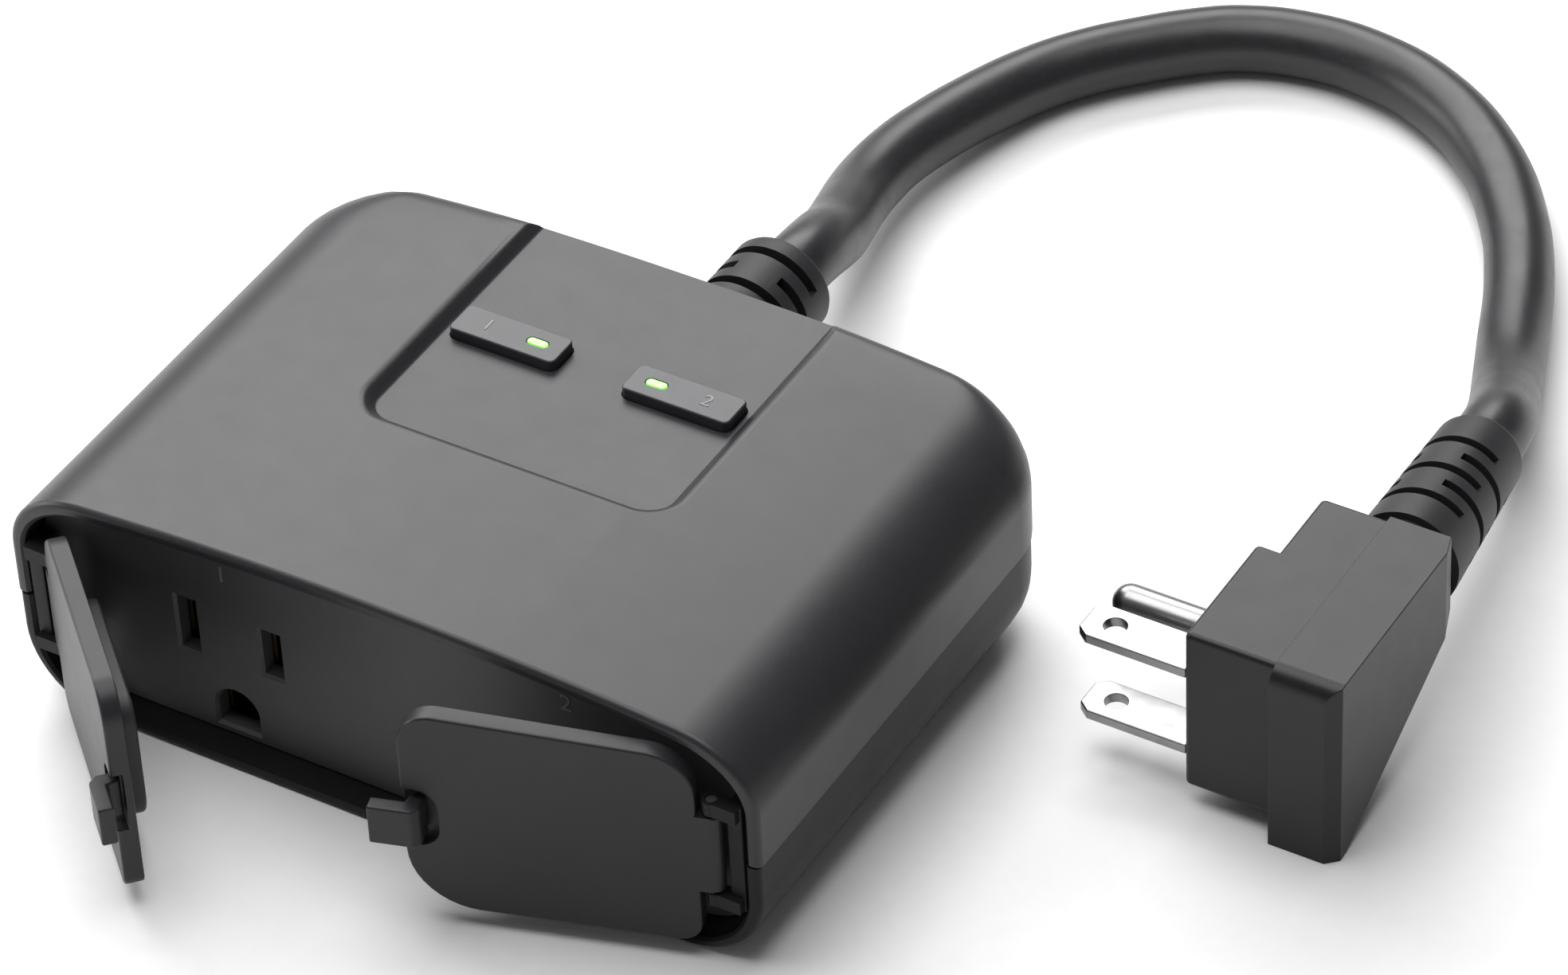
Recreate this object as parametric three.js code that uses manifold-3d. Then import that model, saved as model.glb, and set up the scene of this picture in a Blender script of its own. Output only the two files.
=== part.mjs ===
// Outdoor smart plug: a low two-outlet case with hinged weather covers, two push buttons,
// a power cord and a right-angle grounded plug.
// Millimetres. X runs across the case, -Y is the side with the outlets, Z is up.
// The origin is the centre of the case's flat base.
import * as THREE from 'three';
import Module from 'manifold-3d';
import { mergeVertices } from 'three/addons/utils/BufferGeometryUtils.js';

const wasm = await Module();
wasm.setup();

// ---------------------------------------------------------------- driving dimensions
const CASE_WIDTH = 110;
const CASE_DEPTH = 76;
const CASE_HEIGHT = 37.4;
const FRONT = -CASE_DEPTH / 2;
const REAR = CASE_DEPTH / 2;
const WALL = 2.0;
const FLOOR = 1.3;
const CROWN = 1.75;            // how far the top falls from its middle to its shoulders
const SHOULDER_X = 12.4;
const SHOULDER_Z = 10.2;
const BILGE_RADIUS = 11.7;     // bottom long edges
const PLAN_RADIUS = 11;        // rear corners seen from above
const PARTING_Z = 17.4;
const GAP = 0.3;

const PANEL_HALF = 23.1;       // sunken control panel in the top
const PANEL_FRONT = -6.4;
const PANEL_Z = 35.3;
const PANEL_RADIUS = 4.5;

const BUTTON = { x: 12.95, y: 15.6, length: 15.9, width: 5.4, top: 36.8, travel: 0.8 };
const LENS = { length: 3.0, width: 1.3, inset: 3.9 };

const FACE_Y = FRONT + 4.4;    // front of the outlet plate
const FACE_THICKNESS = 2.4;
const OUTLET_X = 25.4;
const SLOT_Z = 17.7;
const SLOT_SPACING = 12.7;
const SLOT_WIDTH = 2.9;
const NEUTRAL_HEIGHT = 8.8;
const LINE_HEIGHT = 7.5;
const GROUND_DROP = 11.9;
const GROUND_RADIUS = 3.1;

const COVER_THICKNESS = 2.6;
const HINGE_X = 48.4;
const HINGE_Y = FRONT + 0.3;
const COVER_REACH = 39.0;      // hinge axis to free edge
const COVER_Z = [3.0, 33.2];   // its top edge then climbs with the case's crown
const COVER_CLIMB = 1.3;
const COVER_CORNER = { left: 2, right: 9 };   // radius of the lower free corner
const HINGE_Z = [11.7, 24.0];  // where the cover wraps the pin
const PIN_RADIUS = 0.7;
const PIN_BORE = 0.76;
const PAD_THICKNESS = 2.0;
const LEFT_OPEN = 43.4;        // degrees
const RIGHT_OPEN = 16.9;

const CORD_DIAMETER = 9.6;
const GLAND = { radius: 7.4, z: 18, end: 61 };

const PLUG = { x: 85.6, y: 17.3, z: 14.4 };   // middle of the two blades at the plug's face
const BLADE = { length: 15.9, width: 6.35, thickness: 1.5, spacing: 12.7, hole: 1.55 };
const GROUND_PIN = { length: 18.5, radius: 2.4, offset: 11.9 };
const BOOT = { from: [99.5, 46.1, 20.5], to: [96.9, 72.8, 17.4], rootRadius: 7.2, tipRadius: 6.0 };

// Route of the cord's centre line, from the case's gland to the plug's boot.
const CORD_ROUTE = [
  [0, 61.5, 18], [-0.1, 65.5, 17.8], [-0.8, 71, 16.3], [-2.4, 78, 13.2], [-4.05, 83.51, 11.4],
  [-5.92, 89.52, 9.5], [-7.23, 96.22, 8], [-7.51, 103.81, 7], [-6.52, 111.61, 6.2], [-4.02, 121.4, 5.4],
  [-0.5, 130.6, 4.8], [4.2, 137.6, 4.8], [9.4, 143.2, 4.8], [14.8, 148.2, 4.8], [20.6, 152.2, 4.8],
  [30.5, 155.3, 4.8], [40.5, 155.3, 4.8], [51.7, 152, 4.8], [63.8, 143.6, 4.8], [73, 132.6, 4.8],
  [79.75, 120.4, 5.2], [85.02, 107.51, 6.1], [88.48, 99.11, 7.6], [91.48, 92.02, 10.2], [94.24, 85.13, 13.5],
  [96.16, 79.23, 16.3], [96.76, 73.58, 17.23],
];

// ---------------------------------------------------------------- materials
const material = (color, roughness, metalness = 0) => ({ color, roughness, metalness });
const SHELL = material(0x2b2b2f, 0.48);
const COVER = material(0x232328, 0.55);
const RUBBER = material(0x161618, 0.8);
const CORD = material(0x1d1d20, 0.5);
const STEEL = material(0xb8babc, 0.3, 1);
const BRASS = material(0xb08d4a, 0.35, 1);
const BOARD = material(0x1d5c3a, 0.6);
const LENS_GREEN = material(0x4fd35a, 0.3);
const RELAY = material(0x1f4f9c, 0.5);
const WHITE = material(0xd9d9d4, 0.6);
const BLACK = material(0x18181a, 0.5);

const part = new THREE.Group();
part.name = 'smart_plug';

function addMesh(name, geometry, look) {
  const mesh = new THREE.Mesh(geometry, new THREE.MeshStandardMaterial(look));
  mesh.name = name;
  part.add(mesh);
  return mesh;
}

// ---------------------------------------------------------------- solids
function solid(geometry) {
  const g = geometry.clone();
  g.deleteAttribute('normal');
  g.deleteAttribute('uv');
  const m = mergeVertices(g, 1e-4);
  return new wasm.Manifold(new wasm.Mesh({
    numProp: 3,
    vertProperties: new Float32Array(m.attributes.position.array),
    triVerts: new Uint32Array(m.index.array),
  }));
}

function geometryOf(manifold) {
  const mesh = manifold.getMesh();
  const g = new THREE.BufferGeometry();
  const xyz = new Float32Array(mesh.numVert * 3);
  for (let i = 0; i < mesh.numVert; i++) {
    for (let k = 0; k < 3; k++) xyz[3 * i + k] = mesh.vertProperties[mesh.numProp * i + k];
  }
  g.setAttribute('position', new THREE.BufferAttribute(xyz, 3));
  g.setIndex(new THREE.BufferAttribute(new Uint32Array(mesh.triVerts), 1));
  g.computeVertexNormals();
  return g;
}

const shapeOf = (points) => new THREE.Shape(points.map(([u, v]) => new THREE.Vector2(u, v)));

function arc(cu, cv, ru, rv, from, to, steps) {
  const points = [];
  for (let i = 0; i <= steps; i++) {
    const t = THREE.MathUtils.degToRad(from + (to - from) * i / steps);
    points.push([cu + ru * Math.cos(t), cv + rv * Math.sin(t)]);
  }
  return points;
}

// A rectangle from (u0, v0) to (u1, v1) with its own radius at each corner:
// lower left, lower right, upper right, upper left.
function roundedRect(u0, v0, u1, v1, radii, steps = 4) {
  const [a, b, c, d] = radii;
  const corner = (u, v, r, from) => (r > 0 ? arc(u, v, r, r, from, from + 90, steps) : [[u, v]]);
  return [
    ...corner(u0 + a, v0 + a, a, 180), ...corner(u1 - b, v0 + b, b, 270),
    ...corner(u1 - c, v1 - c, c, 0), ...corner(u0 + d, v1 - d, d, 90),
  ];
}

// Extrusions of a closed outline: along Z from an XY outline, along Y from an XZ outline,
// along X from a YZ outline.
function prismZ(points, z0, z1, holes = []) {
  const shape = shapeOf(points);
  for (const hole of holes) shape.holes.push(new THREE.Path(hole.map(([u, v]) => new THREE.Vector2(u, v))));
  return new THREE.ExtrudeGeometry(shape, { depth: z1 - z0, bevelEnabled: false }).translate(0, 0, z0);
}
const prismY = (points, y0, y1) => prismZ(points, 0, y1 - y0).rotateX(Math.PI / 2).translate(0, y1, 0);
function prismX(points, x0, x1) {
  const turn = new THREE.Matrix4().makeBasis(
    new THREE.Vector3(0, 1, 0), new THREE.Vector3(0, 0, 1), new THREE.Vector3(1, 0, 0));
  return prismZ(points, 0, x1 - x0).applyMatrix4(turn).translate(x0, 0, 0);
}
const box = (x0, x1, y0, y1, z0, z1) => new THREE.BoxGeometry(x1 - x0, y1 - y0, z1 - z0)
  .translate((x0 + x1) / 2, (y0 + y1) / 2, (z0 + z1) / 2);
const rodZ = (x, y, r, z0, z1, sides = 16) => new THREE.CylinderGeometry(r, r, z1 - z0, sides)
  .rotateX(Math.PI / 2).translate(x, y, (z0 + z1) / 2);

const cut = (body, ...tools) => tools.reduce((left, tool) => left.subtract(tool), body);

// ---------------------------------------------------------------- case shells
// Cross-section of the case seen from the front, drawn in from the outside by a wall
// at the sides and top and by a floor at the bottom.
function caseSection(wall, floor) {
  const half = CASE_WIDTH / 2 - wall;
  const top = CASE_HEIGHT - wall;
  const ax = SHOULDER_X - 0.75 * wall;
  const az = SHOULDER_Z - 0.75 * wall;
  const rb = BILGE_RADIUS - 0.75 * wall;
  const shoulder = half - ax;
  const crown = [];
  for (let i = 1; i < 6; i++) {
    const x = shoulder - (2 * shoulder * i) / 6;
    crown.push([x, top - CROWN * (x / shoulder) ** 2]);
  }
  return [
    ...arc(half - rb, floor + rb, rb, rb, 270, 360, 7),
    ...arc(shoulder, top - CROWN - az, ax, az, 0, 90, 7),
    ...crown,
    ...arc(-shoulder, top - CROWN - az, ax, az, 90, 180, 7),
    ...arc(-half + rb, floor + rb, rb, rb, 180, 270, 7),
  ];
}

function caseBody(wall, floor, front) {
  const half = CASE_WIDTH / 2 - wall;
  const r = PLAN_RADIUS - wall;
  const section = solid(prismY(caseSection(wall, floor), front, REAR - wall));
  const plan = solid(prismZ(roundedRect(-half, front, half, REAR - wall, [0, 0, r, r], 6), -1, 40));
  const edge = 3;
  const side = solid(prismX(
    roundedRect(front, floor, REAR - wall, CASE_HEIGHT - wall, [0, edge, edge, 0], 3), -60, 60));
  return section.intersect(plan).intersect(side);
}

const outer = caseBody(0, 0, FRONT);
const inner = caseBody(WALL, FLOOR, FRONT - 1);
const hollow = outer.subtract(inner);
const below = solid(box(-60, 60, -50, 50, -5, PARTING_Z - GAP / 2));
const above = solid(box(-60, 60, -50, 50, PARTING_Z + GAP / 2, 45));
const glandHole = solid(new THREE.CylinderGeometry(6.0, 6.0, 8, 24).translate(0, REAR, GLAND.z));

const SCREWS = [[-44, -19], [44, -19], [-42, 24], [42, 24]];

let lowerShell = hollow.intersect(below);
for (const [x, y] of SCREWS) lowerShell = lowerShell.add(solid(rodZ(x, y, 3.6, 0.2, 6.0)).intersect(outer));
for (const [x, y] of SCREWS) {
  lowerShell = cut(lowerShell, solid(rodZ(x, y, 2.4, -1, 3.6)), solid(rodZ(x, y, 1.3, 3, 7)));
}
addMesh('lower_shell', geometryOf(lowerShell.subtract(glandHole)), SHELL);

const panelOutline = roundedRect(-PANEL_HALF, PANEL_FRONT, PANEL_HALF, REAR + 1, [PANEL_RADIUS, PANEL_RADIUS, 0, 0], 5);
const panelBacking = solid(box(-PANEL_HALF - 3, PANEL_HALF + 3, PANEL_FRONT - 3, REAR - 1, PANEL_Z - 2, 36.5));
let upperShell = hollow.add(panelBacking.intersect(outer)).intersect(above);
for (const [x, y] of SCREWS) upperShell = upperShell.add(solid(rodZ(x, y, 3.0, 19, 36)).intersect(outer));
for (const [x, y] of SCREWS) upperShell = upperShell.subtract(solid(rodZ(x, y, 1.1, 18, 28)));
upperShell = upperShell.subtract(solid(prismZ(panelOutline, PANEL_Z, 40)));
for (const side of [-1, 1]) {
  const u = BUTTON.length / 2 + GAP;
  const v = BUTTON.width / 2 + GAP;
  const hole = prismZ(roundedRect(-u, -v, u, v, [1.5, 1.5, 1.5, 1.5], 3), 30, 40);
  upperShell = upperShell.subtract(solid(hole.translate(side * BUTTON.x, BUTTON.y, 0)));
}
addMesh('upper_shell', geometryOf(upperShell.subtract(glandHole)), SHELL);

SCREWS.forEach(([x, y], i) => {
  const profile = [[0, 1.2], [2.1, 1.2], [2.1, 2.7], [0.85, 3.2], [0.85, 22], [0, 22]];
  const screw = new THREE.LatheGeometry(profile.map(([r, z]) => new THREE.Vector2(r, z)), 12);
  addMesh(`case_screw_${i + 1}`, screw.rotateX(Math.PI / 2).translate(x, y, 0), STEEL);
});

// Seal strip that laps the parting line just inside the side and rear walls.
const sealOuter = caseBody(WALL + GAP, 5, FRONT + 8);
const sealInner = caseBody(WALL + GAP + 1.2, 4, FRONT + 7);
const sealBand = solid(box(-60, 60, -50, 50, PARTING_Z - 1.8, PARTING_Z + 1.8));
const sealClear = [glandHole, solid(box(-9.5, 9.5, 20, 50, 0, 40))];
addMesh('perimeter_seal_left', geometryOf(cut(sealOuter.subtract(sealInner).intersect(sealBand),
  ...sealClear, solid(box(0, 60, -50, 50, 0, 40)))), RUBBER);
addMesh('perimeter_seal_right', geometryOf(cut(sealOuter.subtract(sealInner).intersect(sealBand),
  ...sealClear, solid(box(-60, 0, -50, 50, 0, 40)))), RUBBER);

// ---------------------------------------------------------------- outlets
const slot = (x, z, w, h) => solid(box(x - w / 2, x + w / 2, FACE_Y - 2, FACE_Y + 6, z - h / 2, z + h / 2));
const groundOutline = (x, z, r) => [[x - r, z - r], [x + r, z - r], ...arc(x, z, r, r, 0, 180, 10)];
let facePlate = solid(prismY(caseSection(WALL + GAP, FLOOR + GAP), FACE_Y, FACE_Y + FACE_THICKNESS));
for (const x of [-OUTLET_X, OUTLET_X]) {
  facePlate = cut(facePlate,
    slot(x - SLOT_SPACING / 2, SLOT_Z, SLOT_WIDTH, NEUTRAL_HEIGHT),
    slot(x + SLOT_SPACING / 2, SLOT_Z, SLOT_WIDTH, LINE_HEIGHT),
    solid(prismY(groundOutline(x, SLOT_Z - GROUND_DROP, GROUND_RADIUS), FACE_Y - 2, FACE_Y + 6)));
}
addMesh('outlet_plate', geometryOf(facePlate), SHELL);

// A folded spring contact: two leaves and a bridge, open towards the outlet plate.
function contact(name, x, z, spread, height, length) {
  const y0 = FACE_Y + FACE_THICKNESS + GAP;
  const y1 = y0 + length;
  const a = spread / 2;
  const b = a + 0.7;
  const fold = [[-b, y0], [-a, y0], [-a, y1 - 0.7], [a, y1 - 0.7], [a, y0], [b, y0], [b, y1], [-b, y1]];
  addMesh(name, prismZ(fold, z - height / 2, z + height / 2).translate(x, 0, 0), BRASS);
}
[-OUTLET_X, OUTLET_X].forEach((x, i) => {
  contact(`neutral_contact_${i + 1}`, x - SLOT_SPACING / 2, SLOT_Z, 1.9, 7.0, 10);
  contact(`line_contact_${i + 1}`, x + SLOT_SPACING / 2, SLOT_Z, 1.9, 6.0, 10);
  contact(`ground_contact_${i + 1}`, x, SLOT_Z - GROUND_DROP, 5.2, 5.4, 10);
});

// ---------------------------------------------------------------- electronics
addMesh('main_board', box(-36, 36, -14, 34, 3.2, 4.8), BOARD);
addMesh('relay_1', box(-33, -14, -12, 3, 5.1, 20.5), RELAY);
addMesh('relay_2', box(14, 33, -12, 3, 5.1, 20.5), RELAY);
addMesh('power_supply', box(-33, -12, 5, 25.5, 5.1, 21), BLACK);
addMesh('capacitor', rodZ(17, 13, 5, 5.1, 21, 16), BLACK);
addMesh('radio_module', box(24, 34, 14, 30, 5.1, 8.3), WHITE);
addMesh('button_board', box(-24, 24, 10.5, 21, 27.2, 28.6), BOARD);
for (const [i, side] of [[1, -1], [2, 1]]) {
  const x = side * BUTTON.x;
  addMesh(`tact_switch_${i}`, box(x - 3, x + 3, BUTTON.y - 3, BUTTON.y + 3, 28.8, 30.9), BLACK);
}

// ---------------------------------------------------------------- buttons
for (const [i, side] of [[1, -1], [2, 1]]) {
  const u = BUTTON.length / 2;
  const v = BUTTON.width / 2;
  const cap = prismZ(roundedRect(-u, -v, u, v, [1.2, 1.2, 1.2, 1.2], 3), 32.4, BUTTON.top);
  const flange = box(-u - 1.2, u + 1.2, -v - 1.2, v + 1.2, 31.9, 32.9);
  const lensX = -side * (u - LENS.inset);
  const pill = (grow) => roundedRect(
    lensX - LENS.length / 2 - grow, -LENS.width / 2 - grow, lensX + LENS.length / 2 + grow, LENS.width / 2 + grow,
    Array(4).fill(LENS.width / 2 + grow - 0.01), 4);
  const body = solid(cap).add(solid(flange)).subtract(solid(prismZ(pill(0.15), BUTTON.top - 1.2, 40)));
  addMesh(`button_${i}`, geometryOf(body).translate(side * BUTTON.x, BUTTON.y, 0), COVER);
  const lens = prismZ(pill(0), BUTTON.top - 1.05, BUTTON.top + 0.05);
  addMesh(`led_lens_${i}`, lens.translate(side * BUTTON.x, BUTTON.y, 0), LENS_GREEN);
}

// ---------------------------------------------------------------- hinged covers
// Each cover is drawn closed on the left side with its hinge axis at x = 0, y = 0 and its
// free edge at +u; the right one is its mirror image. Then it is turned open and placed.
const MIRROR = new THREE.Matrix4().makeScale(-1, 1, 1);
function mirrored(geometry) {
  const g = geometry.clone().applyMatrix4(MIRROR);
  const index = g.index ? g.index.array : null;
  const count = index ? index.length : g.attributes.position.count;
  const flipped = [];
  for (let i = 0; i < count; i += 3) {
    const tri = index ? [index[i], index[i + 2], index[i + 1]] : [i, i + 2, i + 1];
    flipped.push(...tri);
  }
  g.setIndex(flipped);
  g.computeVertexNormals();
  return g;
}
function placeHinged(geometry, side, degrees) {
  const g = side < 0 ? geometry.clone() : mirrored(geometry);
  return g.rotateZ(THREE.MathUtils.degToRad(side * degrees)).translate(side * HINGE_X, HINGE_Y, 0);
}

const t = COVER_THICKNESS / 2;
const [coverLow, coverHigh] = COVER_Z;
const climb = ([u, z]) => [u, z > 20 ? z + COVER_CLIMB * (u - 1.8) / (COVER_REACH - 1.8) : z];
const knuckle = solid(rodZ(0, 0, t, HINGE_Z[0], HINGE_Z[1], 16))
  .add(solid(box(0, 2.2, -t, t, HINGE_Z[0], HINGE_Z[1])));
const scoop = solid(prismY(roundedRect(34.4, 13.0, COVER_REACH + 2, 22.2, [3, 0, 0, 3], 4), -t - 1, -t + 1.6));
function coverLeaf(corner) {
  const outline = roundedRect(1.8, coverLow, COVER_REACH, coverHigh, [3, corner, 5, 6], 5).map(climb);
  return geometryOf(cut(solid(prismY(outline, -t, t)).add(knuckle),
    solid(rodZ(0, 0, PIN_BORE, 0, 40, 16)), scoop));
}
const padOutline = roundedRect(8, 6.5, 33, 27, [2, 6, 3, 5], 4);
const sealPad = prismY(padOutline, t + GAP, t + GAP + PAD_THICKNESS);
const tabProfile = [
  [36.2, -t + 1.3], [36.2, -t - 1.5], [37.2, -t - 2.5], [42.8, -t - 2.5],
  [42.8, -t - 0.4], [38.4, -t - 0.4], [38.0, -t + 1.3],
];
const latchTab = prismZ([...tabProfile].reverse(), 14.6, 20.6);

// Fixed bracket beside each cover, with a lug above and below the cover's knuckle.
const lugs = [[9.4, HINGE_Z[0] - GAP], [HINGE_Z[1] + GAP, 26.4]];
let bracketBody = solid(box(-4.2, -2.0, -0.1, 3.7, 9.4, 26.4));
for (const [z0, z1] of lugs) {
  bracketBody = bracketBody.add(solid(rodZ(0, 0, 1.3, z0, z1, 16)))
    .add(solid(box(-4.2, 0, -1.1, 1.1, z0, z1)));
}
bracketBody = bracketBody.subtract(solid(rodZ(0, 0, PIN_BORE, 0, 40, 16)));
const bracket = geometryOf(bracketBody);
const hingePin = rodZ(0, 0, PIN_RADIUS, 9.6, 26.2, 16);

for (const [word, side, open] of [['left', -1, LEFT_OPEN], ['right', 1, RIGHT_OPEN]]) {
  addMesh(`${word}_hinge_bracket`, placeHinged(bracket, side, 0), SHELL);
  addMesh(`${word}_hinge_pin`, placeHinged(hingePin, side, 0), STEEL);
  addMesh(`${word}_cover`, placeHinged(coverLeaf(COVER_CORNER[word]), side, open), COVER);
  addMesh(`${word}_seal_pad`, placeHinged(sealPad, side, open), RUBBER);
  addMesh(`${word}_latch_tab`, placeHinged(latchTab, side, open), COVER);
}

// ---------------------------------------------------------------- cord, gland and inner wires
const gland = new THREE.LatheGeometry([
  [0, 33], [8.5, 33], [8.5, REAR - WALL - GAP], [5.7, REAR - WALL - GAP], [5.7, REAR + GAP],
  [GLAND.radius, REAR + GAP], [GLAND.radius, GLAND.end - 1.2], [GLAND.radius - 1.2, GLAND.end], [0, GLAND.end],
].map(([r, y]) => new THREE.Vector2(r, y)), 24);
addMesh('cord_gland', gland.translate(0, 0, GLAND.z), RUBBER);
addMesh('cord_clamp', box(-11, 11, 26.4, 32.4, 10.6, 13.6), WHITE);

const tube = (points, radius, sides, steps) => {
  const curve = new THREE.CatmullRomCurve3(points.map((p) => new THREE.Vector3(...p)), false, 'centripetal');
  const section = shapeOf(arc(0, 0, radius, radius, 0, 360 - 360 / sides, sides - 1));
  return new THREE.ExtrudeGeometry(section, { steps, bevelEnabled: false, extrudePath: curve });
};
addMesh('power_cord', tube(CORD_ROUTE, CORD_DIAMETER / 2, 10, 70), CORD);

const WIRES = [
  ['line_wire', [[-3.5, 32.6, 18], [-5.5, 24, 19.5], [-6.5, 12, 23.5], [-5, 0, 23.8], [0, -10, 20]], 0x303034],
  ['neutral_wire', [[0, 32.6, 20.5], [0.5, 22, 23.5], [1.5, 10, 24.2], [3.5, -2, 23], [6, -12, 17]], 0xd9d9d4],
  ['ground_wire', [[3.5, 32.6, 18], [5.5, 24, 16], [6.5, 12, 11], [7.5, 0, 8.5], [9, -11, 8]], 0x2f8f4a],
];
for (const [name, route, color] of WIRES) addMesh(name, tube(route, 1.2, 8, 14), material(color, 0.5));

// ---------------------------------------------------------------- right-angle plug
const { x: px, y: py, z: pz } = PLUG;
// A block behind the blades, a neck, and a taller grip plate whose underside climbs to the cord.
const plugBlock = solid(box(0, 13, -4.2, 15.2, 3.2, 28.4));
const gripSide = [[-5.9, 0], [-3.4, 0], [27.6, 16.4], [27.0, 28.8], [-5.9, 28.8]];
const plugGrip = solid(prismX(gripSide, 12.6, 22));
const plugNeck = solid(prismX([[12, 8.2], [27.3, 16.3], [27.0, 28.4], [12, 28.4]], 3.2, 13));
const plugPlan = [[0, -6], [20.5, -6], [22, -4.5], [22, 24], [20.8, 28], [3, 28], [3.4, 15.2], [0, 15.2]];
const plugBody = plugBlock.add(plugGrip).add(plugNeck).intersect(solid(prismZ(plugPlan, -1, 40)));
addMesh('plug_body', geometryOf(plugBody).translate(px, py, 0), COVER);

function bladeAt(name, dz) {
  const w = BLADE.width / 2;
  const outline = [[0 - GAP, -w], [-GAP, w], [-BLADE.length + 1.6, w], [-BLADE.length, w - 1.3],
    [-BLADE.length, -w + 1.3], [-BLADE.length + 1.6, -w]];
  const hole = arc(-BLADE.length + 4.1, 0, BLADE.hole, BLADE.hole, 0, 330, 11);
  const h = BLADE.thickness / 2;
  addMesh(name, prismZ(outline, pz + dz - h, pz + dz + h, [hole]).translate(px, py, 0), STEEL);
}
bladeAt('neutral_blade', -BLADE.spacing / 2);
bladeAt('line_blade', BLADE.spacing / 2);

const pinR = GROUND_PIN.radius;
const pinProfile = [[0, GAP], [pinR, GAP], [pinR, GROUND_PIN.length - pinR],
  ...arc(0, GROUND_PIN.length - pinR, pinR, pinR, 22.5, 67.5, 2), [0, GROUND_PIN.length]];
const groundPin = new THREE.LatheGeometry(pinProfile.map(([r, y]) => new THREE.Vector2(r, y)), 16);
addMesh('ground_pin', groundPin.rotateZ(Math.PI / 2).translate(px, py + GROUND_PIN.offset, pz), STEEL);

const bootFrom = new THREE.Vector3(...BOOT.from);
const bootTo = new THREE.Vector3(...BOOT.to);
const bootLength = bootFrom.distanceTo(bootTo);
const boot = new THREE.LatheGeometry([
  [0, 0], [BOOT.rootRadius, 0], [BOOT.rootRadius, 6], [BOOT.tipRadius, bootLength - 1], [BOOT.tipRadius - 1, bootLength],
  [0, bootLength],
].map(([r, y]) => new THREE.Vector2(r, y)), 20);
const bootTurn = new THREE.Quaternion().setFromUnitVectors(
  new THREE.Vector3(0, 1, 0), bootTo.clone().sub(bootFrom).normalize());
addMesh('plug_boot', boot.applyQuaternion(bootTurn).translate(...BOOT.from), RUBBER);

export default part;
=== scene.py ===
# %% [markdown]
# # An outdoor smart plug
#
# This lesson dresses a finished mechanical model. Lengths are drawn in millimetres and turned
# into metres when a piece is finished.

# %% Load the frame
import math
import bmesh
import bpy
from mathutils import Matrix, Vector


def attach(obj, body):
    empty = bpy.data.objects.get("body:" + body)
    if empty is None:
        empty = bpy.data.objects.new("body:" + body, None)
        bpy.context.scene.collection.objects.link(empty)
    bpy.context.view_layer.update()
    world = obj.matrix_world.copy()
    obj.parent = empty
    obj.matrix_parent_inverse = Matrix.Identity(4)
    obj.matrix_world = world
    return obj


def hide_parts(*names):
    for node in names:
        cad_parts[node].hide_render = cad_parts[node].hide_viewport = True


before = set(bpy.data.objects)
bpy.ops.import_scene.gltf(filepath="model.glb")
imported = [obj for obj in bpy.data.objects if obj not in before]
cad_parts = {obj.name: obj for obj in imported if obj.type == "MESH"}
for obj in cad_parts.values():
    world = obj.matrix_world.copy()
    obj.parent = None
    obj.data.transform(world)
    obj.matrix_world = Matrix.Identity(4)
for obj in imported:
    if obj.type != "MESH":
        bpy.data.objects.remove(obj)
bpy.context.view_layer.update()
MM = 0.001

# %% [markdown]
# ## Camera
#
# A long lens from a distance keeps the case's edges nearly parallel, as in product pictures.
# The camera's three axes are worked out from its compass direction, its height above the
# horizon and a small roll, and written straight into its matrix.

# %% Camera
CAMERA_PLACE = Vector((384.55, -545.98, 592.20)) * MM
CAMERA_AZIMUTH, CAMERA_ELEVATION, CAMERA_ROLL = (math.radians(d) for d in (32.473, 40.343, -3.005))
SENSOR_MM, LENS_MM = 36.0, 158.6

back = Vector((math.sin(CAMERA_AZIMUTH) * math.cos(CAMERA_ELEVATION),
               -math.cos(CAMERA_AZIMUTH) * math.cos(CAMERA_ELEVATION), math.sin(CAMERA_ELEVATION)))
level = Vector((math.cos(CAMERA_AZIMUTH), math.sin(CAMERA_AZIMUTH), 0.0))
upward = back.cross(level)
right = level * math.cos(CAMERA_ROLL) + upward * math.sin(CAMERA_ROLL)
up = back.cross(right)
camera_data = bpy.data.cameras.new("camera")
camera_data.lens, camera_data.sensor_width = LENS_MM, SENSOR_MM
camera_data.clip_start, camera_data.clip_end = 0.01, 20.0
camera = bpy.data.objects.new("camera", camera_data)
camera_turn = Matrix((right, up, back)).transposed().to_4x4()
camera.matrix_world = Matrix.Translation(CAMERA_PLACE) @ camera_turn
bpy.context.scene.collection.objects.link(camera)
bpy.context.scene.camera = camera
print("camera looks along", tuple(round(c, 3) for c in -back))

# %% [markdown]
# ## Finishes as arithmetic
#
# A material is a graph of nodes, but maths reads better as maths. `Value` wraps one output
# socket and turns `+`, `-` and `*` into Math nodes. `Finish` owns a material; its `node` method
# makes any other node. Whatever is the same all over the surface is set on the shader itself.

# %% Socket arithmetic
class Value:
    def __init__(self, finish, socket):
        self.finish, self.socket = finish, socket

    def _math(self, operation, a, b):
        return self.finish.node("ShaderNodeMath", {"operation": operation}, {0: a, 1: b})

    def __add__(self, other):
        return self._math("ADD", self, other)

    def __sub__(self, other):
        return self._math("SUBTRACT", self, other)

    def __rsub__(self, other):
        return self._math("SUBTRACT", other, self)

    def __mul__(self, other):
        return self._math("MULTIPLY", self, other)

    __radd__, __rmul__ = __add__, __mul__


OCTAVE_GAIN = 0.55  # how much each finer layer of a noise keeps of the one before


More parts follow.
